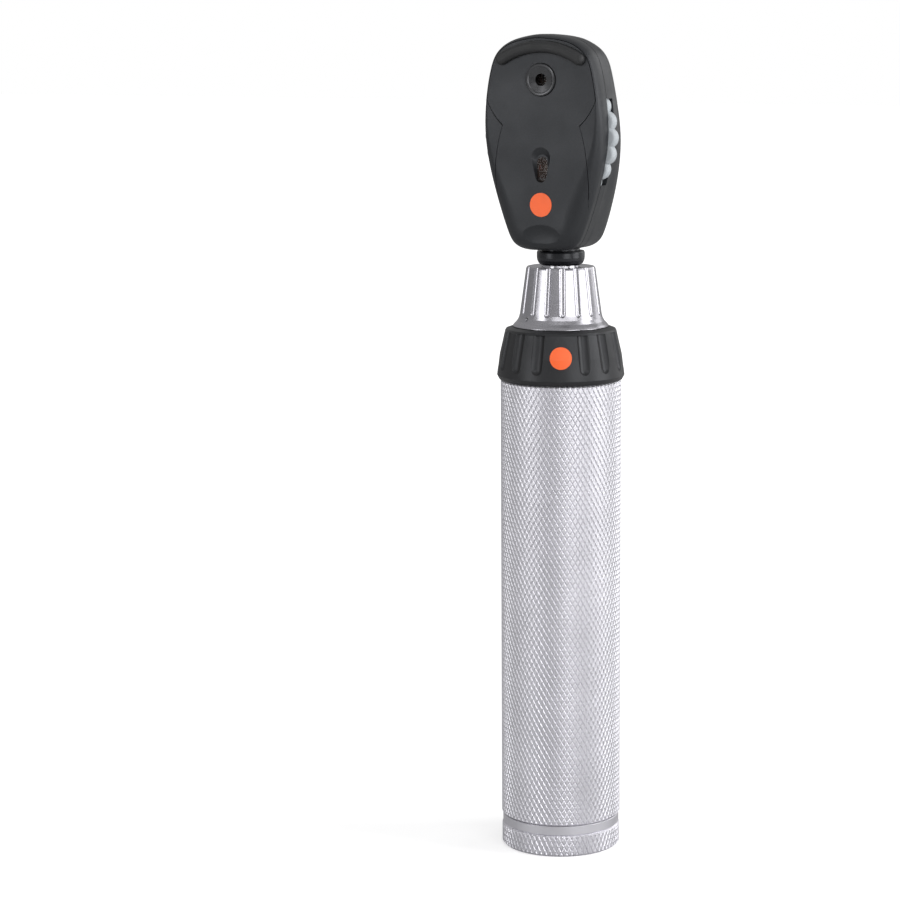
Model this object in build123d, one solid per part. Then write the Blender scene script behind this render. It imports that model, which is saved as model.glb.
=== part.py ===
from build123d import *
import math
import os

# Direct ophthalmoscope: an instrument head with a lens wheel on a round rechargeable handle.
# Frame: +Z up along the handle's axis, origin at the centre of the flat base, and -Y is the side
# that the practitioner looks into. Millimetres throughout.

# ---------------------------------------------------------------- driving dimensions
HANDLE_R = 15.0            # handle tube, outside
TUBE_WALL = 1.6
BASE_RING_TOP = 5.5        # knurled foot ring
BAND_TOP = 7.85            # smooth band above the foot ring
TUBE_TOP = 119.1
RING_TOP = 132.3           # brightness ring
CONE_TOP = 147.3           # fluted cone that takes the head
HEAD_BOTTOM = 151.8
HEAD_TOP = 204.0
FACE_Y = -11.5             # flat front of the head
PLATE_BACK_Y = -9.7        # back of the front cover plate
SEAM_Y = -6.8              # joint between middle frame and rear cover
BACK_Y = 8.0               # flat back of the head
WHEEL_Z = 179.2            # lens wheel axle height
WHEEL_R = 17.6
LENS_CIRCLE_R = 13.9       # lens centres on the wheel
LENS_COUNT = 28
LOBE_COUNT = 24            # finger lobes on the wheel's rim
DIAL_CIRCLE_R = 7.7        # middle of the printed numbers on the wheel
WHEEL_FRONT_Y = -6.75      # lens wheel's flange
WHEEL_BACK_Y = -4.0
SIGHT_Z = WHEEL_Z + LENS_CIRCLE_R
BEAM_Y = -0.3              # axis of the lighting beam inside the head
FRONT_ANGLE = 25.0         # where the ring's badge stands, counted from -Y towards +X

# ---------------------------------------------------------------- shared clearances
FIT = 0.05                 # running or assembly gap, each side
PART_GAP = 0.16            # visible gap line between two covers
WALL = 1.6                 # moulded wall of the head

TUBE_BORE_R = HANDLE_R - TUBE_WALL

# Right half of the head's outline, from the crown to the middle of the bottom: (x, z).
HALF_OUTLINE = [
    (0.0, HEAD_TOP),
    (5.0, 203.5),
    (9.4, 202.1),
    (12.5, 199.5),
    (14.2, 195.3),
    (15.2, 190.0),
    (15.9, 179.5),
    (14.7, 171.0),
    (12.2, 162.0),
    (10.2, 156.4),
    (8.2, 153.1),
    (5.0, HEAD_BOTTOM + 0.05),
    (0.0, HEAD_BOTTOM),
]


# ---------------------------------------------------------------- helpers
def turned(profile):
    """Solid of revolution round the handle's axis from an (r, z) outline."""
    outline = Polyline(*[(r, 0, z) for r, z in profile], close=True)
    return revolve(make_face(outline), Axis.Z, 360)


def rod(radius, low, high, x=0.0, y=0.0):
    """Upright cylinder between two heights."""
    return Pos(x, y, (low + high) / 2) * Cylinder(radius, high - low)


def rod_y(radius, front, back, x=0.0, z=0.0):
    """Cylinder along Y between two depths."""
    return Pos(x, (front + back) / 2, z) * Rot(90, 0, 0) * Cylinder(radius, back - front)


def block(x_span, y_span, z_span):
    """Box between stated limits."""
    spans = [x_span, y_span, z_span]
    sizes = [high - low for low, high in spans]
    middle = [(high + low) / 2 for low, high in spans]
    return Pos(*middle) * Box(*sizes)


def about_z(shape, angle):
    return Rot(0, 0, angle) * shape


def about_wheel(shape, angle):
    """Turn a shape about the lens wheel's axle."""
    return Pos(0, 0, WHEEL_Z) * Rot(0, angle, 0) * Pos(0, 0, -WHEEL_Z) * shape


def smooth_step(value):
    value = min(max(value, 0.0), 1.0)
    return value * value * (3 - 2 * value)


def head_outline():
    """Closed outline points with their outward directions."""
    left = [(-x, z) for x, z in reversed(HALF_OUTLINE[1:-1])]
    points = HALF_OUTLINE + left
    count = len(points)
    result = []
    for index, (x, z) in enumerate(points):
        before = points[index - 1]
        after = points[(index + 1) % count]
        dx = after[0] - before[0]
        dz = after[1] - before[1]
        length = math.hypot(dx, dz)
        result.append((x, z, -dz / length, dx / length))
    return result


SPINE_LOW_Z = 166.0        # the head's edges roll in towards this upright line
SPINE_HIGH_Z = 188.0


def head_section(y, inset, roll_at):
    """Head outline at depth y, moved in by an even inset and then rolled in towards the spine."""
    points = []
    for x, z, out_x, out_z in head_outline():
        to_spine = min(max(z, SPINE_LOW_Z), SPINE_HIGH_Z) - z
        share = roll_at(z) / math.hypot(x, to_spine)
        points.append((x - out_x * inset - x * share, y, z - out_z * inset + to_spine * share))
    return make_face(Spline(*points, periodic=True))


def head_prism(front, back, inset):
    """Straight slab of the head's outline."""
    section = head_section(front, inset, lambda z: 0.0)
    return extrude(section, amount=back - front, dir=(0, 1, 0))


def rounded_head(start, end, inset, side_at, roll_at):
    """Slab from the seam to the start depth, then an elliptical roll over to the end face.

    side_at(z) is the depth where the roll begins and roll_at(z) is how far in it ends.
    """
    sections = []
    for angle in (0, 18, 36, 52, 66, 78, 90):
        depth = start + (end - start) * math.sin(math.radians(angle))

        def rolled(z):
            reach = (depth - side_at(z)) / (end - side_at(z))
            reach = min(max(reach, 0.0), 1.0)
            return roll_at(z) * (1 - math.sqrt(1 - reach * reach))

        sections.append(head_section(depth, inset, rolled))
    return head_prism(min(SEAM_Y, start), max(SEAM_Y, start), inset) + loft(sections)


FRONT_SIDE_Y = -8.4
REAR_SIDE_LOW_Y = 3.2      # rear shell keeps its full outline to here at the chin
REAR_SIDE_HIGH_Y = -4.0    # and only to here at the crown


def front_blank():
    """Front half of the head: edge roll tight at the crown and wide at the chin."""
    return rounded_head(
        FRONT_SIDE_Y,
        FACE_Y,
        0.0,
        lambda z: FRONT_SIDE_Y,
        lambda z: 1.1 + 4.3 * smooth_step((190 - z) / 34),
    )


def crown_share(z):
    """0 at the chin to 1 at the crown, where the rear shell is slimmest."""
    return smooth_step((z - HEAD_BOTTOM) / 45)


def rear_blank(inset=0.0, end=BACK_Y):
    """Rear half of the head: deep and boxy at the chin, slim and domed at the crown."""
    return rounded_head(
        REAR_SIDE_HIGH_Y,
        end,
        inset,
        lambda z: REAR_SIDE_LOW_Y + (REAR_SIDE_HIGH_Y - REAR_SIDE_LOW_Y) * crown_share(z),
        lambda z: 4.4 + 7.6 * crown_share(z),
    )


def wheel_pocket(front, back):
    return rod_y(WHEEL_R + 0.45, front, back, z=WHEEL_Z)


def slot_y(radius, z_low, z_high, front, back):
    """Upright slot with round ends, cut along Y; z limits are the arc centres."""
    body = block((-radius, radius), (front, back), (z_low, z_high))
    return body + rod_y(radius, front, back, z=z_low) + rod_y(radius, front, back, z=z_high)


def wing_prism(side, shift=0.0):
    """Side wing of the middle frame, outside the front cover's edge line."""
    corner = (side * (15.4 + shift), -13, 192.4)
    vertex = (side * (10.2 + shift), -13, 182.2 - shift)
    foot = (side * (10.0 + shift), -13, 155.4)
    upper = ThreePointArc(corner, (side * (13.9 + shift), -13, 187.0), vertex)
    lower = ThreePointArc(vertex, (side * (12.3 + shift), -13, 168.6), foot)
    outside = Polyline(foot, (side * 20, -13, 155.4), (side * 20, -13, 192.4), corner)
    face = make_face([upper, lower, outside])
    return extrude(face, amount=13, dir=(0, 1, 0))


PLATE_INSET = 1.0


def plate_region(gap):
    """Everything in front of the middle frame's wall that belongs to the front cover."""
    region = head_prism(-13, PLATE_BACK_Y, PLATE_INSET - gap)
    region += block((-12, 12), (-13, PLATE_BACK_Y), (HEAD_BOTTOM - 2, 165))
    region -= wing_prism(1, gap)
    region -= wing_prism(-1, gap)
    return region


# ---------------------------------------------------------------- head covers
EYE_INSERT_R = 4.0
SLOT_R = 1.4
SLOT_LOW = 169.8
SLOT_HIGH = 173.2
RAMP_FLOOR_Y = -10.6
BADGE_R = 2.9
BADGE_Z = 163.0
BADGE_DEPTH = 0.35
BROW_R = 19.2
BROW_CENTRE_Z = 181.8
BROW_HALF_WIDTH = 1.4
BROW_HALF_ANGLE = 32.4
BROW_SEAT = 0.6
BROW_PROUD = 1.7


def brow_arc(half_width, front, back):
    """Arc strip with round ends."""
    ring = rod_y(BROW_R + half_width, front, back, z=BROW_CENTRE_Z)
    ring -= rod_y(BROW_R - half_width, front - 1, back + 1, z=BROW_CENTRE_Z)
    reach = 60.0
    edge_x = reach * math.sin(math.radians(BROW_HALF_ANGLE))
    edge_z = BROW_CENTRE_Z + reach * math.cos(math.radians(BROW_HALF_ANGLE))
    corners = [(0, front, BROW_CENTRE_Z), (-edge_x, front, edge_z), (edge_x, front, edge_z)]
    wedge = make_face(Polyline(*corners, close=True))
    strip = ring & extrude(wedge, amount=back - front, dir=(0, 1, 0))
    end_x = BROW_R * math.sin(math.radians(BROW_HALF_ANGLE))
    end_z = BROW_CENTRE_Z + BROW_R * math.cos(math.radians(BROW_HALF_ANGLE))
    for side in (-1, 1):
        strip += rod_y(half_width, front, back, x=side * end_x, z=end_z)
    return strip


def drop_wire(y, top_r, top_z, low_r, low_z):
    """Drop-shaped outline: two arcs joined by their common tangents."""
    lean = math.asin((top_r - low_r) / (top_z - low_z))
    cos_l = math.cos(lean)
    sin_l = math.sin(lean)
    top_right = (top_r * cos_l, y, top_z - top_r * sin_l)
    top_left = (-top_r * cos_l, y, top_z - top_r * sin_l)
    low_right = (low_r * cos_l, y, low_z - low_r * sin_l)
    low_left = (-low_r * cos_l, y, low_z - low_r * sin_l)
    top_arc = ThreePointArc(top_right, (0, y, top_z + top_r), top_left)
    low_arc = ThreePointArc(low_left, (0, y, low_z - low_r), low_right)
    left_line = Line(top_left, low_left)
    right_line = Line(low_right, top_right)
    return make_face([top_arc, left_line, low_arc, right_line])


def window_ramp():
    """Sloping recess that leads down to the dial window."""
    mouth = drop_wire(FACE_Y - 0.02, 2.55, 174.4, 1.4, 169.8)
    throat = drop_wire(RAMP_FLOOR_Y, 1.6, SLOT_HIGH + 0.35, SLOT_R + 0.02, SLOT_LOW)
    return loft([mouth, throat], ruled=True)


def thumb_dimple():
    """Shallow oval hollow at the chin."""
    ball = scale(Sphere(1.0), by=(6.9, 2.45, 4.1))
    return Pos(0, FACE_Y - 1.5, 154.9) * ball


def front_cover():
    plate = front_blank() & plate_region(0.0)
    plate -= brow_arc(BROW_HALF_WIDTH + 0.06, -13, FACE_Y + BROW_SEAT)
    plate -= rod_y(EYE_INSERT_R + FIT, -13, -9, z=SIGHT_Z)
    plate -= window_ramp()
    plate -= slot_y(SLOT_R, SLOT_LOW, SLOT_HIGH, -10.9, -9)
    plate -= slot_y(DIAL_WINDOW_R + FIT, SLOT_LOW, SLOT_HIGH, DIAL_GLASS_FRONT_Y - 0.02, -9)
    plate -= rod_y(BADGE_R + 0.04, -13, FACE_Y + BADGE_DEPTH, z=BADGE_Z)
    plate -= thumb_dimple()
    return plate


DIAL_WINDOW_R = 2.2
DIAL_GLASS_FRONT_Y = -10.45
FRAME_WALL_BACK_Y = -8.5
SEAM_REBATE = (0.2, 0.5)    # visible groove between frame and rear cover: width, depth
EYE_NECK_R = 2.9
AXLE_R = 1.5


def mid_frame():
    frame = front_blank() - plate_region(PART_GAP)
    frame -= head_prism(FRAME_WALL_BACK_Y, 0, WALL)
    width, depth = SEAM_REBATE
    frame -= head_prism(SEAM_Y - width, SEAM_Y, -1.0) - head_prism(SEAM_Y - width, SEAM_Y, depth)
    frame -= rod_y(EYE_NECK_R + FIT, -10, -8, z=SIGHT_Z)
    frame -= slot_y(DIAL_WINDOW_R + FIT, SLOT_LOW, SLOT_HIGH, -10, -8)
    frame -= rod_y(AXLE_R + 0.02, -9.4, -8, z=WHEEL_Z)
    return frame


WHEEL_SLOT_Z = (167.7, 190.0)    # openings through which the wheel's lobes are reached
THIN_WALL = 0.4
SCREW_PLACES = [(-5.6, 184.0), (5.6, 184.0), (-5.2, 158.6), (5.2, 158.6)]
SCREW_HEAD_R = 1.25
SCREW_R = 0.75
SCREW_TIP_Y = 1.2
WINDOW_Z = 191.0
WINDOW_R = 3.4
APERTURE_Y = 3.2
APERTURE_R = 6.0
APERTURE_Z = (164.0, 165.8)
FILTER_Z = (168.1, 169.4)
NECK_STEM_R = 4.7


def rear_cover():
    cover = rear_blank()
    cover -= rear_blank(WALL, BACK_Y - WALL)
    pocket = wheel_pocket(SEAM_Y - 1, WHEEL_BACK_Y + 0.3)
    cover -= pocket & block((-20, 20), (-9, 0), WHEEL_SLOT_Z)
    cover -= pocket & head_prism(SEAM_Y, 0, THIN_WALL)
    cover -= rod(NECK_STEM_R + FIT, HEAD_BOTTOM - 2, 156)
    cover -= rod_y(WINDOW_R - 0.4, 5, 9, z=WINDOW_Z)
    cover -= rod_y(WINDOW_R + FIT, 5, BACK_Y - 0.6, z=WINDOW_Z)
    cover -= rod(APERTURE_R + 0.35, APERTURE_Z[0] - 0.4, APERTURE_Z[1] + 0.5, y=APERTURE_Y)
    cover -= block((-3.2, 3.2), (5, 9), (FILTER_Z[0] - 0.15, FILTER_Z[1] + 0.15))
    for x, z in SCREW_PLACES:
        cover -= rod_y(SCREW_R + FIT, 5, 9, x=x, z=z)
        cover -= rod_y(SCREW_HEAD_R + FIT, BACK_Y - 0.9, 9, x=x, z=z)
    return cover


def brow_rest():
    strip = brow_arc(BROW_HALF_WIDTH, FACE_Y - BROW_PROUD, FACE_Y + BROW_SEAT)
    front = strip.edges().group_by(Axis.Y)[0]
    return fillet(front, 1.1)


def eyepiece_cone():
    """Turned sight insert: proud rim, conical dish and sight hole, made along Z and laid over."""
    profile = [
        (1.5, 0.15),
        (3.1, -0.3),
        (3.3, -0.45),
        (3.65, -0.52),
        (3.88, -0.42),
        (EYE_INSERT_R, -0.15),
        (EYE_INSERT_R, 1.75),
        (EYE_NECK_R, 1.75),
        (EYE_NECK_R, 3.2),
        (2.3, 3.2),
        (2.3, 2.5),
        (1.5, 2.5),
    ]
    insert = turned(profile)
    return Pos(0, FACE_Y, SIGHT_Z) * Rot(-90, 0, 0) * insert


def eyepiece_glass():
    return rod_y(2.25, FACE_Y + 2.52, FACE_Y + 3.1, z=SIGHT_Z)


def dioptre_window():
    return slot_y(DIAL_WINDOW_R, SLOT_LOW, SLOT_HIGH, DIAL_GLASS_FRONT_Y, FRAME_WALL_BACK_Y - 0.02)


def face_badge():
    return rod_y(BADGE_R, FACE_Y - 0.06, FACE_Y + BADGE_DEPTH, z=BADGE_Z)


def cover_screws():
    screws = []
    for x, z in SCREW_PLACES:
        head = rod_y(SCREW_HEAD_R, BACK_Y - 0.85, BACK_Y - 0.1, x=x, z=z)
        screw = head + rod_y(SCREW_R, SCREW_TIP_Y, BACK_Y - 0.5, x=x, z=z)
        screw -= block((x - 0.9, x + 0.9), (BACK_Y - 0.45, BACK_Y), (z - 0.16, z + 0.16))
        screw -= block((x - 0.16, x + 0.16), (BACK_Y - 0.45, BACK_Y), (z - 0.9, z + 0.9))
        screws.append(screw)
    return Compound(screws)


# ---------------------------------------------------------------- optics inside the head
CARRIER_FRONT_Y = -3.3
CARRIER_BACK_Y = 6.2
BEAM_R = 2.4
LED_BAY_R = 3.1


def optics_carrier():
    carrier = block((-6.8, 6.8), (CARRIER_FRONT_Y, CARRIER_BACK_Y), (154.5, 198.5))
    carrier = carrier & rear_blank(WALL + 0.12, BACK_Y - WALL - 0.12)
    carrier -= rod(BEAM_R, 158, 187, y=BEAM_Y)
    carrier -= rod(LED_BAY_R, 150, 159.9, y=BEAM_Y)
    carrier -= block((-2.5, 2.5), (-3.0, 9), (186.0, 191.6))
    carrier -= rod_y(1.6, -5, 9, z=SIGHT_Z)
    carrier -= rod(APERTURE_R + 0.3, APERTURE_Z[0] - 0.35, APERTURE_Z[1] + 0.4, y=APERTURE_Y)
    carrier -= rod(0.8, 162.4, 167.3, y=APERTURE_Y)
    carrier -= block((-8, 8), (-2.8, 9), (FILTER_Z[0] - 0.2, FILTER_Z[1] + 0.2))
    for x, z in SCREW_PLACES:
        carrier -= rod_y(SCREW_R, SCREW_TIP_Y, 9, x=x, z=z)
    return carrier


def mirror():
    corners = [(0, -2.98, 187.0), (0, -2.98, 191.5), (0, 1.52, 191.5)]
    wedge = make_face(Polyline(*corners, close=True))
    return extrude(wedge, amount=2.4, both=True, dir=(1, 0, 0))


def lens_body(radius, low, high, bulge):
    """Round lens with a flat underside and a spherical top."""
    ball_r = (radius * radius + bulge * bulge) / (2 * bulge)
    ball = Pos(0, BEAM_Y, high - ball_r) * Sphere(ball_r)
    return rod(radius, low, high, y=BEAM_Y) & ball


def objective_lens():
    return lens_body(BEAM_R - 0.03, 171.6, 174.4, 0.9)


def condenser_lens():
    return lens_body(BEAM_R - 0.03, 160.2, 162.6, 1.1)


def patient_window():
    return rod_y(WINDOW_R, BACK_Y - WALL + 0.1, BACK_Y - 0.65, z=WINDOW_Z)


LED_BOARD_Z = (155.3, 156.1)


def led_board():
    return rod(LED_BAY_R - FIT, *LED_BOARD_Z, y=BEAM_Y)


def led_module():
    base = block((-1.7, 1.7), (BEAM_Y - 1.7, BEAM_Y + 1.7), (LED_BOARD_Z[1], 157.0))
    dome = Pos(0, BEAM_Y, 157.0) * Sphere(1.5)
    keep = rod(2.6, 156.9, 159, y=BEAM_Y)
    return base + (dome & keep)


def aperture_axle():
    return rod(0.75, 162.45, 167.25, y=APERTURE_Y)


def detent_spring():
    """Leaf spring whose nose rides just outside the lens wheel's lobes."""
    nose_r = 0.8
    nose_z = WHEEL_Z - WHEEL_R - 0.1 - nose_r
    strip = block((-5.6, 5.6), (-6.5, -4.3), (nose_z - 1.15, nose_z - 0.75))
    nose = rod_y(nose_r, -6.5, -4.3, z=nose_z)
    spring = strip + nose
    for low_x, high_x in ((-5.6, -4.6), (4.6, 5.6)):
        spring += block((low_x, high_x), (FRAME_WALL_BACK_Y, -4.3), (nose_z - 1.15, nose_z - 0.75))
    return spring


def wheel_axle():
    axle = rod_y(AXLE_R, -9.35, CARRIER_FRONT_Y - FIT, z=WHEEL_Z)
    groove = rod_y(AXLE_R + 1, -3.85, -3.45, z=WHEEL_Z)
    groove -= rod_y(1.15, -4, -3, z=WHEEL_Z)
    return axle - groove


def axle_clip():
    """Open retaining clip in the axle's groove."""
    clip = rod_y(2.4, -3.82, -3.48, z=WHEEL_Z)
    clip -= rod_y(1.18, -4, -3, z=WHEEL_Z)
    return clip - block((-1.0, 1.0), (-4, -3), (WHEEL_Z - 3, WHEEL_Z))


# ---------------------------------------------------------------- lens wheel
HUB_FRONT_Y = -8.2         # raised hub that carries the dial
HUB_R = 10.6
LOBE_R = 2.6
LOBE_ROUND = 0.7
LENS_HOLE_R = 1.35
DIAL_THICK = 0.12


def lens_wheel():
    """Lobed flange with a ring of lens holes and a raised hub for the dial."""
    lobe_circle = WHEEL_R - LOBE_R
    wheel = rod_y(lobe_circle + 0.3, WHEEL_FRONT_Y, WHEEL_BACK_Y, z=WHEEL_Z)
    lobe = rod_y(LOBE_R, WHEEL_FRONT_Y, WHEEL_BACK_Y, z=WHEEL_Z + lobe_circle)
    lobe = fillet(lobe.edges().filter_by(GeomType.CIRCLE), LOBE_ROUND)
    hole = rod_y(LENS_HOLE_R, WHEEL_FRONT_Y - 1, WHEEL_BACK_Y + 1, z=SIGHT_Z)
    lobes = [about_wheel(lobe, 360.0 / LOBE_COUNT * index) for index in range(LOBE_COUNT)]
    holes = [about_wheel(hole, 360.0 / LENS_COUNT * index) for index in range(LENS_COUNT)]
    wheel = wheel.fuse(*lobes)
    wheel = wheel.fuse(rod_y(HUB_R, HUB_FRONT_Y, WHEEL_FRONT_Y + 1, z=WHEEL_Z))
    wheel = wheel.cut(*holes)
    wheel = wheel.cut(rod_y(AXLE_R + FIT, HUB_FRONT_Y - 1, WHEEL_BACK_Y + 1, z=WHEEL_Z))
    return wheel.cut(ring_y(HUB_R - 0.8, 4.0, -6.4, WHEEL_BACK_Y + 1))


def ring_y(outer, inner, front, back):
    """Flat ring about the lens wheel's axle."""
    ring = rod_y(outer, front, back, z=WHEEL_Z)
    return ring - rod_y(inner, front - 1, back + 1, z=WHEEL_Z)


def lens_set():
    """One lens in each hole but the first, which stays open."""
    lens = rod_y(LENS_HOLE_R - 0.02, -6.1, -4.9, z=SIGHT_Z)
    step = 360.0 / LENS_COUNT
    return Compound([about_wheel(lens, step * index) for index in range(1, LENS_COUNT)])


def number_disc():
    return ring_y(DIAL_CIRCLE_R + 2.2, DIAL_CIRCLE_R - 2.2, HUB_FRONT_Y - DIAL_THICK, HUB_FRONT_Y)


# ---------------------------------------------------------------- aperture wheel and filter slide
APERTURE_COUNT = 7
APERTURE_CIRCLE_R = APERTURE_Y - BEAM_Y
APERTURE_HOLE_R = 1.2


def aperture_places():
    for index in range(APERTURE_COUNT):
        turn = math.radians(-90 + 360.0 / APERTURE_COUNT * index)
        x = APERTURE_CIRCLE_R * math.cos(turn)
        yield x, APERTURE_Y + APERTURE_CIRCLE_R * math.sin(turn)


def aperture_wheel():
    low, high = APERTURE_Z
    wheel = rod(APERTURE_R, low, high, y=APERTURE_Y)
    notches = 28
    for index in range(notches):
        turn = 2 * math.pi * index / notches
        x = (APERTURE_R + 0.25) * math.cos(turn)
        y = APERTURE_Y + (APERTURE_R + 0.25) * math.sin(turn)
        wheel -= rod(0.45, low - 1, high + 1, x=x, y=y)
    for x, y in aperture_places():
        wheel -= rod(APERTURE_HOLE_R, low - 1, high + 1, x=x, y=y)
    return wheel - rod(0.8, low - 1, high + 1, y=APERTURE_Y)


def aperture_plate():
    """Thin stencil on the wheel: round spots of three sizes, a slit, a half spot and a ring."""
    low = APERTURE_Z[1]
    plate = rod(5.2, low, low + 0.15, y=APERTURE_Y) - rod(0.9, low - 1, low + 1, y=APERTURE_Y)
    radii = [1.1, 0.8, 0.5, 0.28, 0.9, 0.65, 0.4]
    for (x, y), radius in zip(aperture_places(), radii):
        plate -= rod(radius, low - 1, low + 1, x=x, y=y)
    return plate


def blue_filter():
    x, y = list(aperture_places())[4]
    return rod(APERTURE_HOLE_R - 0.03, APERTURE_Z[0] + 0.4, APERTURE_Z[1] - 0.4, x=x, y=y)


FILTER_TRAVEL = 4.0


def filter_lever():
    """Slide bar with its knob outside the rear cover; the knob is central over the travel."""
    low, high = FILTER_Z
    knob_x = -FILTER_TRAVEL / 2
    bar = block((-6.4, 2.4), (-2.6, 2.6), (low, high))
    bar += block((knob_x - 0.9, knob_x + 0.9), (2.0, 8.6), (low, high))
    knob = block((knob_x - 1.5, knob_x + 1.5), (8.3, 9.4), (low - 0.7, high + 0.7))
    knob = fillet(knob.edges().filter_by(Axis.Y), 0.7)
    bar += knob
    bar -= rod(1.9, low - 1, high + 1, y=BEAM_Y)
    return bar - rod(1.9, low - 1, high + 1, x=-FILTER_TRAVEL, y=BEAM_Y)


def redfree_filter():
    return rod(1.87, FILTER_Z[0] + 0.2, FILTER_Z[1] - 0.2, x=-FILTER_TRAVEL, y=BEAM_Y)


# ---------------------------------------------------------------- neck of the head
PLUG_R = 4.5
CORE_BORE_R = 2.6
LUG_Z = (139.4, 141.0)


def neck_collar():
    profile = [
        (CORE_BORE_R, 147.6),
        (4.9, 147.6),
        (5.5, 148.1),
        (5.85, 148.8),
        (5.95, 149.5),
        (5.95, 150.7),
        (5.75, 151.1),
        (NECK_STEM_R, 151.25),
        (NECK_STEM_R, 154.4),
        (CORE_BORE_R, 154.4),
    ]
    return turned(profile)


def bayonet_plug():
    plug = rod(PLUG_R, 138.2, 147.6) - rod(CORE_BORE_R, 137, 149)
    plug = chamfer(plug.edges().group_by(Axis.Z)[0], 0.3)
    lug = rod(0.75, PLUG_R - 0.6, PLUG_R + 0.75)
    for side in (0, 180):
        turned_lug = about_z(Pos(0, 0, sum(LUG_Z) / 2) * Rot(0, 90, 0) * lug, side)
        plug += turned_lug
    return plug


def contact_insulator():
    return rod(CORE_BORE_R - 0.02, 138.5, 154.3) - rod(1.0, 137, 156)


HEAD_CONTACT_BOTTOM = 137.4


def head_contact():
    return rod(0.98, 138.0, LED_BOARD_Z[0]) + rod(1.5, HEAD_CONTACT_BOTTOM, 138.4)


# ---------------------------------------------------------------- brightness ring and cone
RING_BORE_R = 11.2
RING_GROOVES = 16
RING_BOTTOM = 118.5
RING_LIP = 119.3           # the ring's rim stands just clear of the tube's top edge
RING_SKIRT_R = 13.25       # and its skirt reaches down inside the tube
RING_OUTLINE = [
    (15.35, RING_LIP), (15.87, 120.3), (15.8, 120.9), (15.25, 125.5),
    (13.95, 131.2), (13.6, 131.8), (12.2, RING_TOP),
]


def ring_outer_radius(z):
    """Radius of the ring's tapering side, which bulges a little."""
    above = [point for point in RING_OUTLINE if point[1] > z]
    below = [point for point in RING_OUTLINE if point[1] <= z]
    (low_r, low_z), (high_r, high_z) = below[-1], above[0]
    return low_r + (high_r - low_r) * (z - low_z) / (high_z - low_z)


def leaning_groove(radius, foot_z, head_z, foot_r, head_r):
    """Round-nosed cutter along a tapering side, with a ball at its foot."""
    lean = math.degrees(math.atan2(head_r - foot_r, head_z - foot_z))
    length = math.hypot(head_r - foot_r, head_z - foot_z)
    bar = Pos(0, 0, length / 2) * Cylinder(radius, length) + Sphere(radius)
    return Pos(foot_r, 0, foot_z) * Rot(0, lean, 0) * bar


RING_BADGE_R = 2.7
RING_BADGE_Z = 126.0


def ring_skin(outwards, inwards):
    """Thin shell that follows the ring's tapering side."""
    outer = turned([(r + outwards, z) for r, z in RING_OUTLINE] + [(5, RING_TOP), (5, RING_BOTTOM)])
    inner = turned([(r - inwards, z) for r, z in RING_OUTLINE] + [(4, RING_TOP + 1), (4, 117)])
    return outer - inner


def badge_cutter(radius):
    bar = Pos(14, 0, RING_BADGE_Z) * Rot(0, 90, 0) * Cylinder(radius, 8)
    return about_z(bar, FRONT_ANGLE - 90)


def brightness_ring():
    inside = [(RING_BORE_R, RING_TOP), (RING_BORE_R, RING_BOTTOM), (RING_SKIRT_R, RING_BOTTOM)]
    ring = turned(RING_OUTLINE + inside + [(RING_SKIRT_R, RING_LIP)])
    cutter_r = 1.9
    stand_off = 1.23
    foot_z = 123.3
    head_z = 131.6
    cutter = leaning_groove(
        cutter_r,
        foot_z,
        head_z,
        ring_outer_radius(foot_z) + stand_off,
        ring_outer_radius(head_z) + stand_off,
    )
    cutters = []
    for index in range(1, RING_GROOVES):
        cutters.append(about_z(cutter, FRONT_ANGLE - 90 + 360.0 / RING_GROOVES * index))
    ring = ring.cut(*cutters)
    ring -= badge_cutter(RING_BADGE_R + 0.03) & ring_skin(1.0, 0.35)
    wiper_room = block((-2.2, 2.2), (11.0, 13.6), (118.0, 119.7))
    return ring - wiper_room


def ring_badge():
    return badge_cutter(RING_BADGE_R) & ring_skin(0.05, 0.33)


def ring_wiper():
    """Brass leaf under the ring that brushes the resistance track."""
    leaf = block((-1.9, 1.9), (11.6, 13.2), (119.2, 119.65))
    leg = block((-1.9, -1.5), (11.6, 13.2), (118.35, 119.3))
    foot = block((-1.9, 0.4), (11.6, 13.2), (118.35, 118.55))
    return leaf + leg + foot


SPRING_RING_Z = 144.0      # groove for the wire ring that grips the head's plug


def top_cone():
    profile = [
        (11.9, 132.6),
        (11.6, 133.0),
        (10.9, 133.7),
        (10.4, 134.6),
        (10.15, 135.6),
        (8.6, 146.8),
        (8.35, 147.2),
        (7.9, CONE_TOP),
        (7.2, 147.1),
        (4.65, 147.0),
        (4.65, 136.25),
        (9.05, 136.25),
        (9.05, 132.45),
        (11.9, 132.45),
    ]
    cone = turned(profile)
    stand_off = 0.6
    foot_z = 136.2
    head_z = 149.0
    slope = (8.6 - 10.15) / (146.8 - 135.6)
    foot_r = 10.15 + slope * (foot_z - 135.6) + stand_off
    cutter = leaning_groove(1.0, foot_z, head_z, foot_r, foot_r + slope * (head_z - foot_z))
    flutes = 16
    cutters = []
    for index in range(flutes):
        cutters.append(about_z(cutter, FRONT_ANGLE - 90 + 2.5 + 360.0 / flutes * index))
    cone = cone.cut(*cutters)
    cone -= rod(5.45, SPRING_RING_Z - 0.4, SPRING_RING_Z + 0.4)
    for side in (0, 180):
        cone -= about_z(block((0, 5.5), (-0.85, 0.85), (LUG_Z[0] - 0.3, 149)), side)
    return cone - set_screw_at(0.62, 7.0, 13.0)


def set_screw_at(radius, inner, outer):
    bar = Pos((inner + outer) / 2, 0, 134.7) * Rot(0, 90, 0) * Cylinder(radius, outer - inner)
    return about_z(bar, FRONT_ANGLE - 90 - 53)


def cone_set_screw():
    screw = set_screw_at(0.6, 9.02, 10.2)
    return screw - set_screw_at(0.28, 9.8, 11)


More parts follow.
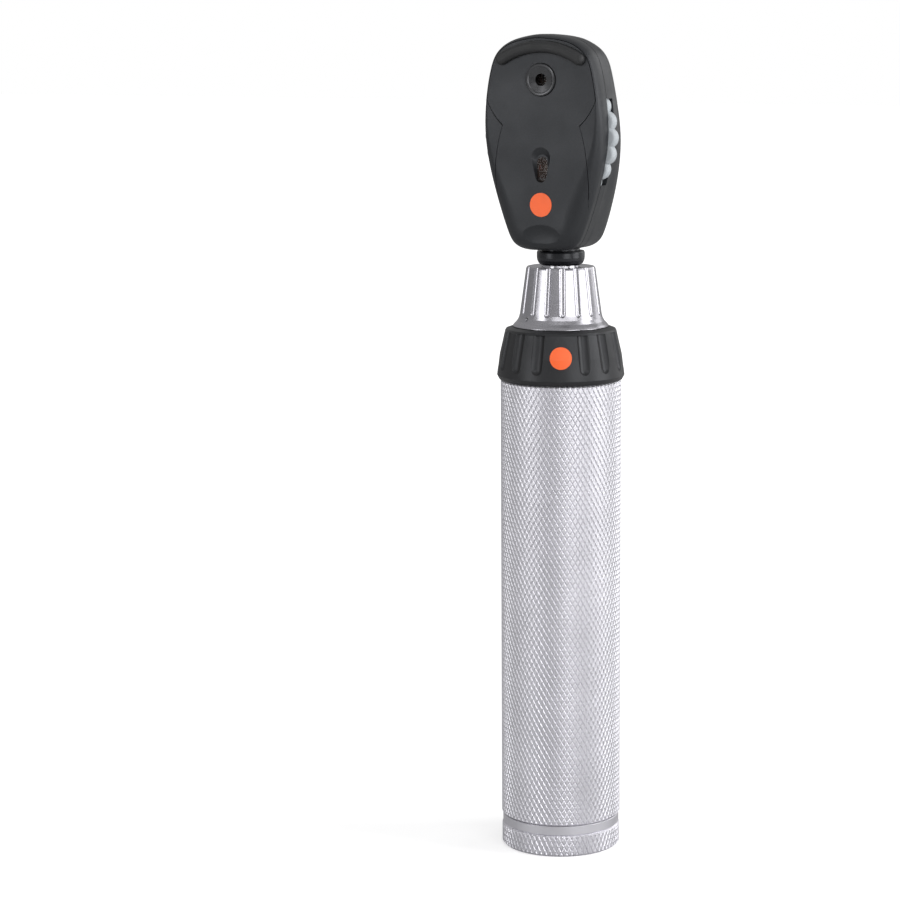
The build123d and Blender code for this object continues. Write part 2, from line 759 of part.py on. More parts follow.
# ---------------------------------------------------------------- handle
def handle_tube():
    bottom = BAND_TOP + 0.12
    profile = [
        (TUBE_BORE_R, bottom),
        (HANDLE_R - 0.55, bottom),
        (HANDLE_R, bottom + 0.5),
        (HANDLE_R, TUBE_TOP - 0.4),
        (HANDLE_R - 0.4, TUBE_TOP),
        (TUBE_BORE_R, TUBE_TOP),
    ]
    return turned(profile)


JOURNAL_R = RING_BORE_R - FIT
SPIGOT_R = 9.0
HOUSING_R = 6.95
INSERT_BOTTOM = 108.1
TRACK_Z = (117.0, 118.1)
SEAL_Z = 126.0


def upper_insert():
    profile = [
        (HOUSING_R + 0.03, INSERT_BOTTOM),
        (TUBE_BORE_R - 0.03, INSERT_BOTTOM),
        (TUBE_BORE_R - 0.03, TRACK_Z[0]),
        (JOURNAL_R, TRACK_Z[0]),
        (JOURNAL_R, SEAL_Z - 0.6),
        (JOURNAL_R - 1.1, SEAL_Z - 0.6),
        (JOURNAL_R - 1.1, SEAL_Z + 0.6),
        (JOURNAL_R, SEAL_Z + 0.6),
        (JOURNAL_R, 132.2),
        (SPIGOT_R, 132.2),
        (SPIGOT_R, 136.1),
        (HOUSING_R + 0.03, 136.1),
    ]
    return turned(profile)


def ring_seal():
    return Pos(0, 0, SEAL_Z) * Torus(JOURNAL_R - 0.55, 0.53)


def rheostat_track():
    return rod(TUBE_BORE_R - FIT, *TRACK_Z) - rod(JOURNAL_R + 0.03, 116, 120)


PIN_R = 1.2
PIN_FLANGE_Z = (124.2, 125.5)
SPRING_BAY_R = 3.0
SPRING_BAY_Z = (112.0, 125.55)


def contact_housing():
    profile = [
        (1.45, 105.5),
        (13.2, 105.5),
        (13.2, 108.0),
        (HOUSING_R, 108.0),
        (HOUSING_R, 136.0),
        (PIN_R + FIT, 136.0),
        (PIN_R + FIT, SPRING_BAY_Z[1]),
        (SPRING_BAY_R, SPRING_BAY_Z[1]),
        (SPRING_BAY_R, SPRING_BAY_Z[0]),
        (1.45, SPRING_BAY_Z[0]),
    ]
    return turned(profile)


def positive_contact():
    return rod(6.0, 104.6, 105.45) + rod(1.4, 105.0, 112.1)


def contact_pin():
    pin = rod(PIN_R, PIN_FLANGE_Z[0], HEAD_CONTACT_BOTTOM - 0.1)
    pin = fillet(pin.edges().group_by(Axis.Z)[-1], 0.5)
    return pin + rod(2.7, *PIN_FLANGE_Z)


def coil(radius, wire, low, high, turns):
    """Helical spring that just fills the height between two limits."""
    height = high - low - 2 * wire
    path = Helix(pitch=height / turns, height=height, radius=radius)
    start = path @ 0
    section = Plane(origin=start, z_dir=path % 0) * Circle(wire)
    return Pos(0, 0, low + wire) * sweep(section, path=path)


def contact_spring():
    return coil(2.0, 0.22, 112.2, 124.15, 9)


BATTERY_Z = (22.7, 103.2)
BATTERY_R = 12.9


def battery_pack():
    cell = rod(BATTERY_R, *BATTERY_Z)
    return chamfer(cell.edges().filter_by(GeomType.CIRCLE), 0.6)


def battery_terminal():
    return rod(3.2, BATTERY_Z[1], 104.55)


def socket_spring_ring():
    """Open wire ring in the cone's socket that grips the plug."""
    ring = Pos(0, 0, SPRING_RING_Z) * Torus(5.05, 0.35)
    return ring - block((-1.2, 1.2), (0, 8), (SPRING_RING_Z - 1, SPRING_RING_Z + 1))


# ---------------------------------------------------------------- lower end
FOOT_R = 14.9
FOOT_BORE_R = 11.5
PLUG_TOP = 15.0
BOARD_Z = (6.2, 7.4)
USB_SIZE = (8.0, 2.9)
USB_Z = (0.7, 6.2)


def end_cap():
    profile = [
        (FOOT_BORE_R, 0.0),
        (FOOT_R - 0.6, 0.0),
        (FOOT_R, 0.6),
        (FOOT_R, BASE_RING_TOP - 0.35),
        (FOOT_R - 0.35, BASE_RING_TOP),
        (FOOT_BORE_R, BASE_RING_TOP),
    ]
    return turned(profile)


def end_insert():
    profile = [
        (0, 0.6),
        (FOOT_BORE_R - 0.02, 0.6),
        (FOOT_BORE_R - 0.02, BASE_RING_TOP + 0.02),
        (HANDLE_R - 0.45, BASE_RING_TOP + 0.02),
        (HANDLE_R - 0.3, BASE_RING_TOP + 0.2),
        (HANDLE_R - 0.3, BAND_TOP - 0.15),
        (HANDLE_R - 0.45, BAND_TOP),
        (TUBE_BORE_R - FIT, BAND_TOP),
        (TUBE_BORE_R - FIT, PLUG_TOP),
        (10.9, PLUG_TOP),
        (10.9, 2.0),
        (0, 2.0),
    ]
    insert = turned(profile)
    half_x = USB_SIZE[0] / 2 + 0.03
    half_y = USB_SIZE[1] / 2 + 0.03
    insert -= block((-half_x, half_x), (-half_y, half_y), (0, 3))
    return insert - rod(1.25, 0, 3, x=8.0)


def usb_socket():
    half_x, half_y = USB_SIZE[0] / 2, USB_SIZE[1] / 2
    wall = 0.3
    shell = block((-half_x, half_x), (-half_y, half_y), USB_Z)
    room = block((-half_x + wall, half_x - wall), (-half_y + wall, half_y - wall), (0, USB_Z[1] - 0.8))
    return shell - room


def usb_tongue():
    return block((-2.1, 2.1), (0.35, 0.95), (1.2, USB_Z[1] - 0.8))


def charger_board():
    return rod(10.7, *BOARD_Z)


def charge_light():
    return rod(1.22, 0.5, BOARD_Z[0], x=8.0)


def insulating_washer():
    return rod(12.4, PLUG_TOP + 0.06, PLUG_TOP + 1.0) - rod(3.0, 14, 17)


def battery_spring():
    return coil(6.0, 0.5, PLUG_TOP + 1.02, BATTERY_Z[0] - 0.1, 3)


PARTS = [
    front_cover, mid_frame, rear_cover, brow_rest, eyepiece_cone, eyepiece_glass, dioptre_window,
    face_badge, cover_screws, optics_carrier, mirror, objective_lens, condenser_lens,
    patient_window, led_board, led_module, aperture_axle, detent_spring, wheel_axle, axle_clip,
    lens_wheel, lens_set, number_disc, aperture_wheel, aperture_plate, blue_filter, filter_lever,
    redfree_filter, neck_collar, bayonet_plug, contact_insulator, head_contact, brightness_ring,
    ring_badge, ring_wiper, top_cone, cone_set_screw, handle_tube, upper_insert, ring_seal,
    rheostat_track, contact_housing, positive_contact, contact_pin, contact_spring,
    battery_pack, battery_terminal, socket_spring_ring, end_cap, end_insert, usb_socket,
    usb_tongue, charger_board, charge_light, insulating_washer, battery_spring,
]

os.makedirs("parts", exist_ok=True)
for make in PARTS:
    export_step(make(), "parts/" + make.__name__ + ".step")
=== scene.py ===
"""Looks of a direct ophthalmoscope on a knurled handle, built round its CAD frame."""
import math

import bmesh
import bpy
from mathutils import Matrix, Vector


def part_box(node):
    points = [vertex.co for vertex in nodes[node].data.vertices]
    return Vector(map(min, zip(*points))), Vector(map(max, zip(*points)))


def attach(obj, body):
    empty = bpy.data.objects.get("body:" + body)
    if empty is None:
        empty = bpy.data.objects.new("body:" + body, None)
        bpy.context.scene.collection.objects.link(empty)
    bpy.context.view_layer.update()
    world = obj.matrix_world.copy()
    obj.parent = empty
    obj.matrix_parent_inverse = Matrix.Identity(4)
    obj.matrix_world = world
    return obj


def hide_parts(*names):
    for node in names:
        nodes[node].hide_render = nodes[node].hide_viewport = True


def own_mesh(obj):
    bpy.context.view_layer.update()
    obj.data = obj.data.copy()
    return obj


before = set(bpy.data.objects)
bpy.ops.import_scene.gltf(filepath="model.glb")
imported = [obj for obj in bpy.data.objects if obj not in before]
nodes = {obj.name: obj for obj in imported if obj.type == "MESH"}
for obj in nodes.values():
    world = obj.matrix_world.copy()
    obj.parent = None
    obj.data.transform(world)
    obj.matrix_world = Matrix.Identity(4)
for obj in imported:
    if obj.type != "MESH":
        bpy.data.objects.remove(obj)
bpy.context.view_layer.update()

MM = 0.001
scene = bpy.context.scene


# ---------------------------------------------------------------- materials
NOISE_ROUGHNESS = 0.5
GRAIN_CONTRAST = 1.45      # how much lighter the peaks of the black plastic's grain are
BLACK_SPECULAR = 0.42
BLACK_SPECULAR_TINT = (0.93, 0.95, 1.0, 1.0)
GLASS_ROUGHNESS = 0.03
GLASS_IOR = 1.5
WINDOW_SPECULAR = 0.2      # low, so that the dial behind the window isn't washed out


class Shader:
    """A node material built around one Principled shader."""

    def __init__(self, name, color, roughness, metallic=0.0):
        self.material = bpy.data.materials.new(name)
        self.material.use_nodes = True
        self.tree = self.material.node_tree
        self.principled = self.tree.nodes["Principled BSDF"]
        self.set("Base Color", (*color, 1.0))
        self.set("Roughness", roughness)
        self.set("Metallic", metallic)
        self.place = self.add("ShaderNodeTexCoord").outputs["Object"]
        self.height = None

    def set(self, socket, value):
        self.principled.inputs[socket].default_value = value

    def add(self, kind, **settings):
        node = self.tree.nodes.new(kind)
        for key, value in settings.items():
            setattr(node, key, value)
        return node

    def link(self, source, target):
        self.tree.links.new(source, target)

    def noise(self, size, detail=3.0, stretch=(1, 1, 1)):
        """Noise whose grains are about size metres across."""
        mapping = self.add("ShaderNodeMapping")
        mapping.inputs["Scale"].default_value = stretch
        self.link(self.place, mapping.inputs["Vector"])
        noise = self.add("ShaderNodeTexNoise")
        noise.inputs["Scale"].default_value = 1.0 / size
        noise.inputs["Detail"].default_value = detail
        noise.inputs["Roughness"].default_value = NOISE_ROUGHNESS
        self.link(mapping.outputs["Vector"], noise.inputs["Vector"])
        return noise.outputs["Fac"]

    def ramp(self, value, low, high, at=(0.3, 0.7)):
        """Map a 0 to 1 value to a number between low and high."""
        node = self.add("ShaderNodeMapRange")
        node.inputs["From Min"].default_value = at[0]
        node.inputs["From Max"].default_value = at[1]
        node.inputs["To Min"].default_value = low
        node.inputs["To Max"].default_value = high
        self.link(value, node.inputs["Value"])
        return node.outputs["Result"]

    def vary_color(self, value, dark, light, at=(0.3, 0.7)):
        ramp = self.add("ShaderNodeValToRGB")
        ramp.color_ramp.elements[0].position = at[0]
        ramp.color_ramp.elements[0].color = (*dark, 1.0)
        ramp.color_ramp.elements[1].position = at[1]
        ramp.color_ramp.elements[1].color = (*light, 1.0)
        self.link(value, ramp.inputs["Fac"])
        self.link(ramp.outputs["Color"], self.principled.inputs["Base Color"])

    def vary_roughness(self, value, low, high):
        self.link(self.ramp(value, low, high), self.principled.inputs["Roughness"])

    def bump(self, value, depth):
        """Surface relief, depth in metres."""
        node = self.add("ShaderNodeBump")
        node.inputs["Distance"].default_value = depth
        node.inputs["Strength"].default_value = 1.0
        self.link(value, node.inputs["Height"])
        if self.height is not None:
            self.link(self.height, node.inputs["Normal"])
        self.height = node.outputs["Normal"]
        self.link(self.height, self.principled.inputs["Normal"])


def moulded_black(name, color, roughness, grain=0.00022, relief=0.00002):
    """Spark-textured black plastic: fine grain, faint sheen changes from handling."""
    shader = Shader(name, color, roughness)
    fine = shader.noise(grain, 2.0)
    broad = shader.noise(0.009, 3.0)
    lighter = tuple(channel * GRAIN_CONTRAST for channel in color)
    shader.vary_color(fine, color, lighter)
    shader.vary_roughness(broad, roughness - 0.05, roughness + 0.07)
    shader.bump(fine, relief)
    shader.set("Specular IOR Level", BLACK_SPECULAR)
    shader.set("Specular Tint", BLACK_SPECULAR_TINT)
    return shader.material


def satin_metal(name, color, roughness, grain=0.0004, stretch=(1, 1, 1), relief=0.000004):
    """Anodised or machined metal with fine tool marks and slight tone changes."""
    shader = Shader(name, color, roughness, 1.0)
    marks = shader.noise(grain, 3.0, stretch)
    broad = shader.noise(0.012, 2.0)
    darker = tuple(channel * 0.93 for channel in color)
    shader.vary_color(broad, darker, color)
    shader.vary_roughness(marks, roughness - 0.05, roughness + 0.08)
    shader.bump(marks, relief)
    return shader.material


def soft_rubber(name, color):
    shader = Shader(name, color, 0.62)
    fine = shader.noise(0.00018, 3.0)
    broad = shader.noise(0.006, 2.0)
    shader.vary_color(broad, color, tuple(channel * 1.6 for channel in color))
    shader.vary_roughness(broad, 0.5, 0.7)
    shader.bump(fine, 0.000012)
    return shader.material


def smooth_plastic(name, color, roughness, coat=0.0):
    shader = Shader(name, color, roughness)
    broad = shader.noise(0.004, 2.0)
    fine = shader.noise(0.0005, 2.0)
    shader.vary_color(broad, tuple(channel * 0.92 for channel in color), color)
    shader.vary_roughness(fine, roughness - 0.04, roughness + 0.06)
    shader.bump(fine, 0.000003)
    shader.set("Coat Weight", coat)
    return shader.material


def clear_part(name, color):
    """Clear lens or filter glass with a little dust."""
    shader = Shader(name, color, GLASS_ROUGHNESS)
    dust = shader.noise(0.0012, 3.0)
    shader.vary_roughness(dust, GLASS_ROUGHNESS, GLASS_ROUGHNESS + 0.05)
    shader.set("Transmission Weight", 1.0)
    shader.set("IOR", GLASS_IOR)
    return shader.material


def tinted_window(name, color, alpha):
    """Thin smoky window that light passes straight through."""
    shader = Shader(name, color, 0.06)
    dust = shader.noise(0.0012, 3.0)
    shader.vary_roughness(dust, 0.04, 0.12)
    shader.set("Alpha", alpha)
    shader.set("Specular IOR Level", WINDOW_SPECULAR)
    return shader.material


def circuit_board(name):
    shader = Shader(name, (0.02, 0.12, 0.05), 0.35)
    tracks = shader.noise(0.0011, 1.0)
    shader.vary_color(tracks, (0.015, 0.09, 0.04), (0.05, 0.2, 0.09), (0.46, 0.5))
    shader.bump(tracks, 0.00003)
    return shader.material


SILVER = (0.68, 0.672, 0.715)
materials = {
    "head": moulded_black("head_black", (0.011, 0.0118, 0.0132), 0.42),
    "ring": moulded_black("ring_black", (0.0095, 0.0095, 0.01), 0.42, 0.00018, 0.000012),
    "rubber": soft_rubber("brow_rubber", (0.009, 0.0092, 0.01)),
    "seal": soft_rubber("seal_rubber", (0.012, 0.012, 0.012)),
    "sight": satin_metal("sight_black", (0.085, 0.086, 0.09), 0.3, 0.0003),
    "neck": moulded_black("neck_black", (0.006, 0.0063, 0.0075), 0.28, 0.0002, 0.000003),
    "inner": moulded_black("inner_black", (0.01, 0.01, 0.01), 0.6),
    "wheel": smooth_plastic("wheel_grey", (0.43, 0.46, 0.485), 0.45),
    "dial": smooth_plastic("dial_print", (0.13, 0.075, 0.06), 0.5),
    "badge": smooth_plastic("badge_orange", (0.95, 0.13, 0.02), 0.42),
    "tube": satin_metal("tube_silver", SILVER, 0.42, 0.0003),
    "band": satin_metal("band_silver", SILVER, 0.4, 0.0002, (1, 1, 6.0), 0.000001),
    # Painted shade: the top cone uses a darker copy of the silver, darkening its metal to stand in
    # for shade.
    "cone": satin_metal("cone_silver", (0.44, 0.434, 0.465), 0.25, 0.0002, (1, 1, 6.0), 0.000001),
    "steel": satin_metal("steel_small", (0.55, 0.55, 0.56), 0.25, 0.0003),
    "plug": satin_metal("plug_metal", (0.75, 0.75, 0.77), 0.15, 0.0005, (0.3, 0.3, 5.0)),
    "brass": satin_metal("brass_part", (0.78, 0.52, 0.2), 0.22, 0.0003),
    "glass": clear_part("clear_glass", (0.95, 0.97, 0.97)),
    "window": tinted_window("window_glass", (0.05, 0.035, 0.03), 0.35),
    "blue": clear_part("blue_glass", (0.05, 0.15, 0.9)),
    "green": clear_part("green_glass", (0.05, 0.7, 0.25)),
    "mirror": satin_metal("mirror_coat", (0.92, 0.92, 0.93), 0.06, 0.002, relief=0.0000002),
    "board": circuit_board("board_green"),
    "led": smooth_plastic("led_body", (0.9, 0.82, 0.35), 0.3, 0.5),
    "battery": smooth_plastic("battery_wrap", (0.03, 0.08, 0.22), 0.3, 0.3),
    "light": smooth_plastic("light_green", (0.35, 0.75, 0.42), 0.35),
    "digits": smooth_plastic("dial_digits", (0.95, 0.9, 0.84), 0.5),
    "minus": smooth_plastic("dial_digits_red", (0.4, 0.085, 0.06), 0.5),
}

NODE_FINISH = {
    "head": ["front_cover", "mid_frame", "rear_cover", "aperture_wheel", "filter_lever"],
    "rubber": ["brow_rest"],
    "seal": ["ring_seal"],
    "sight": ["eyepiece_cone"],
    "glass": [
        "patient_window", "objective_lens",
        "condenser_lens", "lens_set",
    ],
    "window": ["eyepiece_glass", "dioptre_window"],
    "mirror": ["mirror"],
    "badge": ["face_badge", "ring_badge"],
    "steel": [
        "cover_screws", "aperture_axle", "wheel_axle", "axle_clip", "cone_set_screw",
        "socket_spring_ring", "usb_socket", "contact_spring", "battery_spring", "battery_terminal",
    ],
    "inner": [
        "optics_carrier", "contact_insulator", "contact_housing", "insulating_washer",
        "usb_tongue", "aperture_plate",
    ],
    "board": ["led_board", "charger_board", "rheostat_track"],
    "led": ["led_module"],
    "brass": ["detent_spring", "head_contact", "ring_wiper", "positive_contact", "contact_pin"],
    "wheel": ["lens_wheel"],
    "dial": ["number_disc"],
    "blue": ["blue_filter"],
    "green": ["redfree_filter"],
    "neck": ["neck_collar"],
    "plug": ["bayonet_plug"],
    "ring": ["brightness_ring"],
    "cone": ["top_cone"],
    "tube": ["handle_tube", "end_cap"],
    "band": ["end_insert", "upper_insert"],
    "battery": ["battery_pack"],
    "light": ["charge_light"],
}
for finish, members in NODE_FINISH.items():
    for name in members:
        mesh = nodes[name].data
        mesh.materials.clear()
        mesh.materials.append(materials[finish])


# ---------------------------------------------------------------- helpers for new pieces
def new_piece(name, build, material, body, replaced=()):
    """Make a mesh object from a bmesh and attach it to its CAD body."""
    mesh = bpy.data.meshes.new(name)
    build.to_mesh(mesh)
    build.free()
    piece = bpy.data.objects.new(name, mesh)
    scene.collection.objects.link(piece)
    mesh.materials.append(material)
    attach(piece, body)
    if replaced:
        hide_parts(*replaced)
    return piece


# ---------------------------------------------------------------- diamond knurl
KNURL_ROUND = 70
KNURL_PITCH = 2.3 * MM
KNURL_DEPTH = 0.18 * MM
KNURL_TOP = 0.62           # width of each diamond's flat top, as a share of the diamond
RIM_DROP = 0.04 * MM       # how far the chamfer starts below the diamonds' tops
ON_PLANE = 1e-9            # a vertex this near to a cut is taken as lying on it


def knurled_sleeve(outer, inner, low, high, chamfer):
    """Tube whose outside is cut into flat-topped diamonds, closed at both ends."""
    build = bmesh.new()
    root = outer - KNURL_DEPTH
    rows = max(1, round((high - low) / KNURL_PITCH))
    pitch = (high - low) / rows
    step = 2 * math.pi / KNURL_ROUND
    corners = {}

    def vertex(radius, turn, z):
        return build.verts.new((radius * math.cos(turn), radius * math.sin(turn), z))

    def corner(column, row):
        key = (column % (2 * KNURL_ROUND), row)
        if key not in corners:
            corners[key] = vertex(root, key[0] * step / 2, low + row * pitch / 2)
        return corners[key]

    for row in range(-1, 2 * rows + 2):
        for column in range(row % 2, 2 * KNURL_ROUND, 2):
            column_middle = column + 1
            ring = [
                corner(column_middle - 1, row),
                corner(column_middle, row - 1),
                corner(column_middle + 1, row),
                corner(column_middle, row + 1),
            ]
            top = []
            for across, up in ((-1, 0), (0, -1), (1, 0), (0, 1)):
                turn = (column_middle + across * KNURL_TOP) * step / 2
                top.append(vertex(outer, turn, low + (row + up * KNURL_TOP) * pitch / 2))
            build.faces.new(top)
            for side in range(4):
                after = (side + 1) % 4
                build.faces.new((ring[side], ring[after], top[after], top[side]))
    trim_height(build, low, high)
    for bound, sign in ((low, 1), (high, -1)):
        cut_at(build, bound + sign * chamfer, None)
        for vert in build.verts:
            inside = (vert.co.z - bound) * sign
            if inside < chamfer:
                limit = outer - RIM_DROP - (chamfer - inside)
                shrink_to(vert, limit)
    close_sleeve(build, inner, low, high)
    return build


def shrink_to(vert, limit):
    radius = math.hypot(vert.co.x, vert.co.y)
    if radius > limit:
        vert.co.x *= limit / radius
        vert.co.y *= limit / radius


def cut_at(build, height, clear):
    """Cut all faces at a height; clear is None, or the side that is thrown away."""
    bmesh.ops.bisect_plane(
        build,
        geom=build.verts[:] + build.edges[:] + build.faces[:],
        dist=ON_PLANE,
        plane_co=(0, 0, height),
        plane_no=(0, 0, 1),
        clear_outer=clear == "above",
        clear_inner=clear == "below",
    )


def trim_height(build, low, high):
    cut_at(build, low, "below")
    cut_at(build, high, "above")


def close_sleeve(build, inner, low, high):
    """Flat ends and an inner wall."""
    rims = [edge for edge in build.edges if edge.is_boundary]
    grown = bmesh.ops.extrude_edge_only(build, edges=rims)["geom"]
    for item in grown:
        if isinstance(item, bmesh.types.BMVert):
            radius = math.hypot(item.co.x, item.co.y)
            item.co.x *= inner / radius
            item.co.y *= inner / radius
            item.co.z = low if item.co.z < (low + high) / 2 else high
    open_edges = [edge for edge in build.edges if edge.is_boundary]
    bmesh.ops.bridge_loops(build, edges=open_edges)
    bmesh.ops.recalc_face_normals(build, faces=build.faces)


def radius_of(node):
    """Largest reach of a round node from the handle's axis."""
    low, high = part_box(node)
    return max(high.x, -low.x)


tube_low, tube_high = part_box("handle_tube")
TUBE_WALL = 1.6 * MM
TUBE_CHAMFER = 0.45 * MM
tube_r = radius_of("handle_tube")
new_piece(
    "knurled_tube",
    knurled_sleeve(tube_r, tube_r - TUBE_WALL, tube_low.z, tube_high.z, TUBE_CHAMFER),
    materials["tube"], "handle", ["handle_tube"],
)

foot_low, foot_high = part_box("end_cap")
FOOT_BORE = 11.5 * MM
FOOT_CHAMFER = 0.5 * MM
new_piece(
    "knurled_foot",
    knurled_sleeve(radius_of("end_cap"), FOOT_BORE, foot_low.z, foot_high.z, FOOT_CHAMFER),
    materials["tube"], "end_insert", ["end_cap"],
)


# ---------------------------------------------------------------- contact spring
# A copy of the contact spring with its own mesh, attached to the handle in place of the original.
spring_node = nodes["contact_spring"]
pressed_spring = bpy.data.objects.new("pressed_spring", spring_node.data.copy())
pressed_spring.matrix_world = spring_node.matrix_world
scene.collection.objects.link(pressed_spring)
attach(pressed_spring, "handle")
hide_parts("contact_spring")
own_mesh(pressed_spring)


# ---------------------------------------------------------------- dial numbers
LENS_COUNT = 28
DIAL_CIRCLE = 7.7 * MM
DIGIT_SIZE = 2.3 * MM
TWO_DIGIT_SHARE = 0.72     # size of a two-digit number beside a single digit
DIGIT_THICKNESS = 0.03 * MM
DIGIT_GAP = 0.04 * MM      # keeps the numbers clear of the disc behind them
wheel_low, wheel_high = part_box("lens_wheel")
wheel_z = (wheel_low.z + wheel_high.z) / 2
dial_low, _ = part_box("number_disc")


def dial_numbers():
    """Plus values one way round and minus values the other, as (text, places round the dial)."""
    plus = [1, 2, 3, 4, 5, 6, 7, 8, 9, 10, 15, 20, 40]
    minus = [1, 2, 3, 4, 5, 6, 7, 8, 9, 10, 15, 20, 25, 35]
    yield "0", 0
    for place, value in enumerate(plus, start=1):
        yield str(value), place
    for place, value in enumerate(minus, start=1):
        yield str(value), -place


def text_mesh(text):
    """Flat letter shapes as a mesh, centred on the origin."""
    curve = bpy.data.curves.new("digit", "FONT")
    curve.body = text
    curve.size = DIGIT_SIZE if len(text) == 1 else DIGIT_SIZE * TWO_DIGIT_SHARE
    curve.align_x = "CENTER"
    curve.align_y = "CENTER"
    curve.extrude = DIGIT_THICKNESS
    holder = bpy.data.objects.new("digit", curve)
    mesh = bpy.data.meshes.new_from_object(holder)
    bpy.data.objects.remove(holder)
    bpy.data.curves.remove(curve)
    return mesh


def dial_digits(name, material, wanted):
    """All numbers of one sign, laid round the dial so that each reads upright at the window."""
    build = bmesh.new()
    for text, place in dial_numbers():
        if not wanted(place):
            continue
        mesh = text_mesh(text)
        start = len(build.verts)
        build.from_mesh(mesh)
        bpy.data.meshes.remove(mesh)
        build.verts.ensure_lookup_table()
        turn = 2 * math.pi * place / LENS_COUNT
        for vert in build.verts[start:]:
            across, up, out = vert.co
            up -= DIAL_CIRCLE
            x = across * math.cos(turn) - up * math.sin(turn)
            z = across * math.sin(turn) + up * math.cos(turn)
            vert.co = Vector((x, dial_low.y - out - DIGIT_GAP, wheel_z + z))
    bmesh.ops.recalc_face_normals(build, faces=build.faces)
    new_piece(name, build, material, "lens_wheel")


dial_digits("dial_numbers_plus", materials["digits"], lambda place: place >= 0)
dial_digits("dial_numbers_minus", materials["minus"], lambda place: place < 0)


# ---------------------------------------------------------------- floor, light and camera
FLOOR_HALF_WIDTH = 6.0
FLOOR_GLOW = (0.42, 0.8)           # emission near the object and far from it
FLOOR_GLOW_REACH = (0.15, 0.8)     # metres from the origin over which it changes
FLOOR_REFLECTED = (0.6, 0.6, 0.6, 1.0)
ROOM_HEIGHTS = (-0.1, 1.0)         # upward part of a direction, over which the room brightens
ROOM_GREYS = (0.36, 0.55)


def floor_material():
    """White to the camera, and darker in reflections so that the product keeps its contrast."""
    shader = Shader("floor_white", (0.8, 0.8, 0.8), 0.8)
    shader.set("Specular IOR Level", 0.1)
    shader.set("Emission Color", (1.0, 1.0, 1.0, 1.0))
    distance = shader.add("ShaderNodeVectorMath", operation="LENGTH")
    shader.link(shader.place, distance.inputs[0])
    glow = shader.ramp(distance.outputs["Value"], *FLOOR_GLOW, FLOOR_GLOW_REACH)
    shader.link(glow, shader.principled.inputs["Emission Strength"])
    dark = shader.add("ShaderNodeBsdfDiffuse")
    dark.inputs["Color"].default_value = FLOOR_REFLECTED
    path = shader.add("ShaderNodeLightPath")
    mix = shader.add("ShaderNodeMixShader")
    shader.link(path.outputs["Is Camera Ray"], mix.inputs["Fac"])
    shader.link(dark.outputs["BSDF"], mix.inputs[1])
    shader.link(shader.principled.outputs["BSDF"], mix.inputs[2])
    output = shader.tree.nodes["Material Output"]
    shader.link(mix.outputs["Shader"], output.inputs["Surface"])
    return shader.material


def studio_floor():
    build = bmesh.new()
    bmesh.ops.create_grid(build, x_segments=1, y_segments=1, size=FLOOR_HALF_WIDTH)
    mesh = bpy.data.meshes.new("floor")
    build.to_mesh(mesh)
    build.free()
    floor = bpy.data.objects.new("floor", mesh)
    scene.collection.objects.link(floor)
    mesh.materials.append(floor_material())


def soft_light(name, place, target, size, power):
    light = bpy.data.lights.new(name, "AREA")
    light.shape = "RECTANGLE"
    light.size, light.size_y = size
    light.energy = power
    lamp = bpy.data.objects.new(name, light)
    lamp.location = place
    direction = Vector(target) - Vector(place)
    lamp.rotation_euler = direction.to_track_quat("-Z", "Y").to_euler()
    scene.collection.objects.link(lamp)


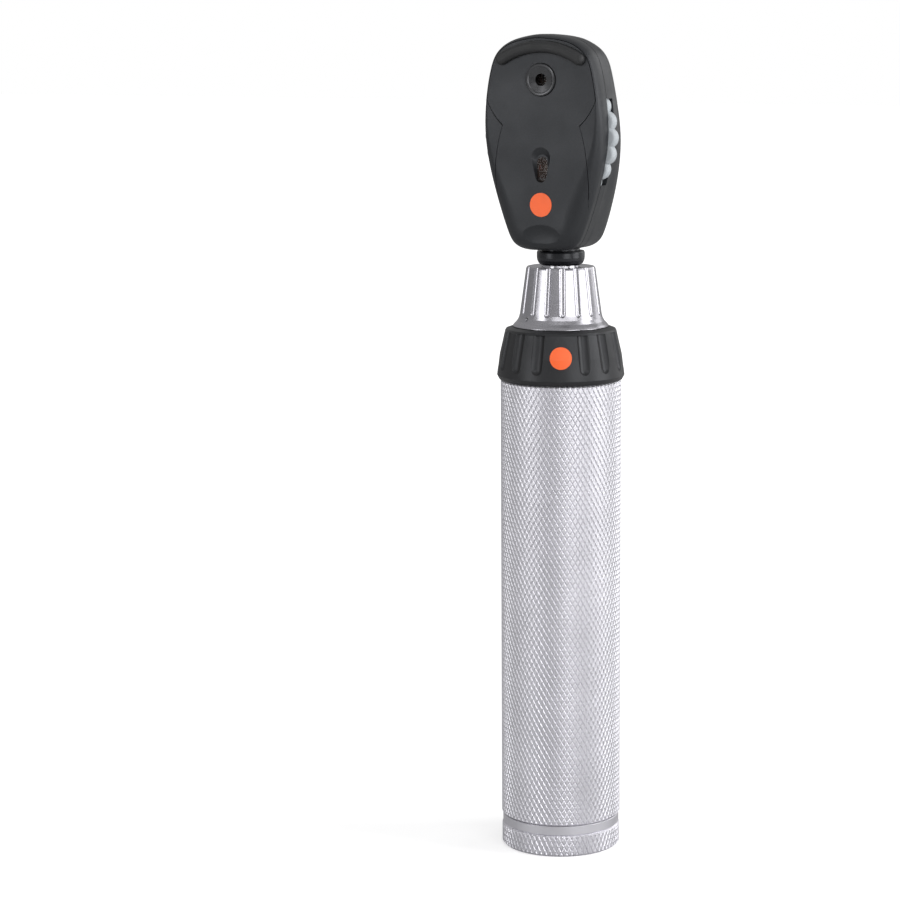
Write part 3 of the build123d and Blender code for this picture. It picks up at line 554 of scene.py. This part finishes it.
def studio_world():
    """White behind everything, and a greyer room in reflections: dim low, brighter overhead."""
    world = bpy.data.worlds.new("studio")
    world.use_nodes = True
    tree = world.node_tree
    room = tree.nodes["Background"]
    room.inputs["Strength"].default_value = 1.0
    place = tree.nodes.new("ShaderNodeTexCoord")
    split = tree.nodes.new("ShaderNodeSeparateXYZ")
    height = tree.nodes.new("ShaderNodeMapRange")
    height.inputs["From Min"].default_value = ROOM_HEIGHTS[0]
    height.inputs["From Max"].default_value = ROOM_HEIGHTS[1]
    height.inputs["To Min"].default_value = ROOM_GREYS[0]
    height.inputs["To Max"].default_value = ROOM_GREYS[1]
    white = tree.nodes.new("ShaderNodeBackground")
    white.inputs["Color"].default_value = (1.0, 1.0, 1.0, 1.0)
    white.inputs["Strength"].default_value = 1.0
    path = tree.nodes.new("ShaderNodeLightPath")
    mix = tree.nodes.new("ShaderNodeMixShader")
    tree.links.new(place.outputs["Generated"], split.inputs["Vector"])
    tree.links.new(split.outputs["Z"], height.inputs["Value"])
    tree.links.new(height.outputs["Result"], room.inputs["Color"])
    tree.links.new(path.outputs["Is Camera Ray"], mix.inputs["Fac"])
    tree.links.new(room.outputs["Background"], mix.inputs[1])
    tree.links.new(white.outputs["Background"], mix.inputs[2])
    tree.links.new(mix.outputs["Shader"], tree.nodes["World Output"].inputs["Surface"])
    scene.world = world


CAMERA_DISTANCE = 0.655
CAMERA_HEIGHT = 0.206
CAMERA_AZIMUTH = math.radians(25.0)
CAMERA_PITCH = math.radians(9.1)
CAMERA_LENS = 106.0
CAMERA_SENSOR = 36.0
CAMERA_SHIFT = -0.1231


def studio_camera():
    data = bpy.data.cameras.new("camera")
    data.lens = CAMERA_LENS
    data.sensor_width = CAMERA_SENSOR
    data.shift_x = CAMERA_SHIFT
    data.clip_start = 0.01
    camera = bpy.data.objects.new("camera", data)
    camera.location = (
        CAMERA_DISTANCE * math.sin(CAMERA_AZIMUTH),
        -CAMERA_DISTANCE * math.cos(CAMERA_AZIMUTH),
        CAMERA_HEIGHT,
    )
    camera.rotation_euler = (math.pi / 2 - CAMERA_PITCH, 0, CAMERA_AZIMUTH)
    scene.collection.objects.link(camera)
    scene.camera = camera


scene.view_settings.view_transform = "Standard"
studio_floor()
studio_world()
studio_camera()
soft_light("key_light", (0.87, 0.22, 0.4), (0, 0, 0.12), (0.5, 0.9), 5.5)
soft_light("rim_light", (0.45, 0.9, 0.4), (0, 0, 0.15), (0.5, 0.7), 1.5)
soft_light("right_light", (0.8, -0.55, 0.2), (0, 0, 0.1), (0.5, 0.6), 3.0)
soft_light("front_light", (0.35, -0.95, 0.75), (0, 0, 0.1), (0.7, 0.4), 2.6)
soft_light("left_light", (-0.55, -0.9, 0.25), (0, 0, 0.1), (0.35, 0.8), 3.0)
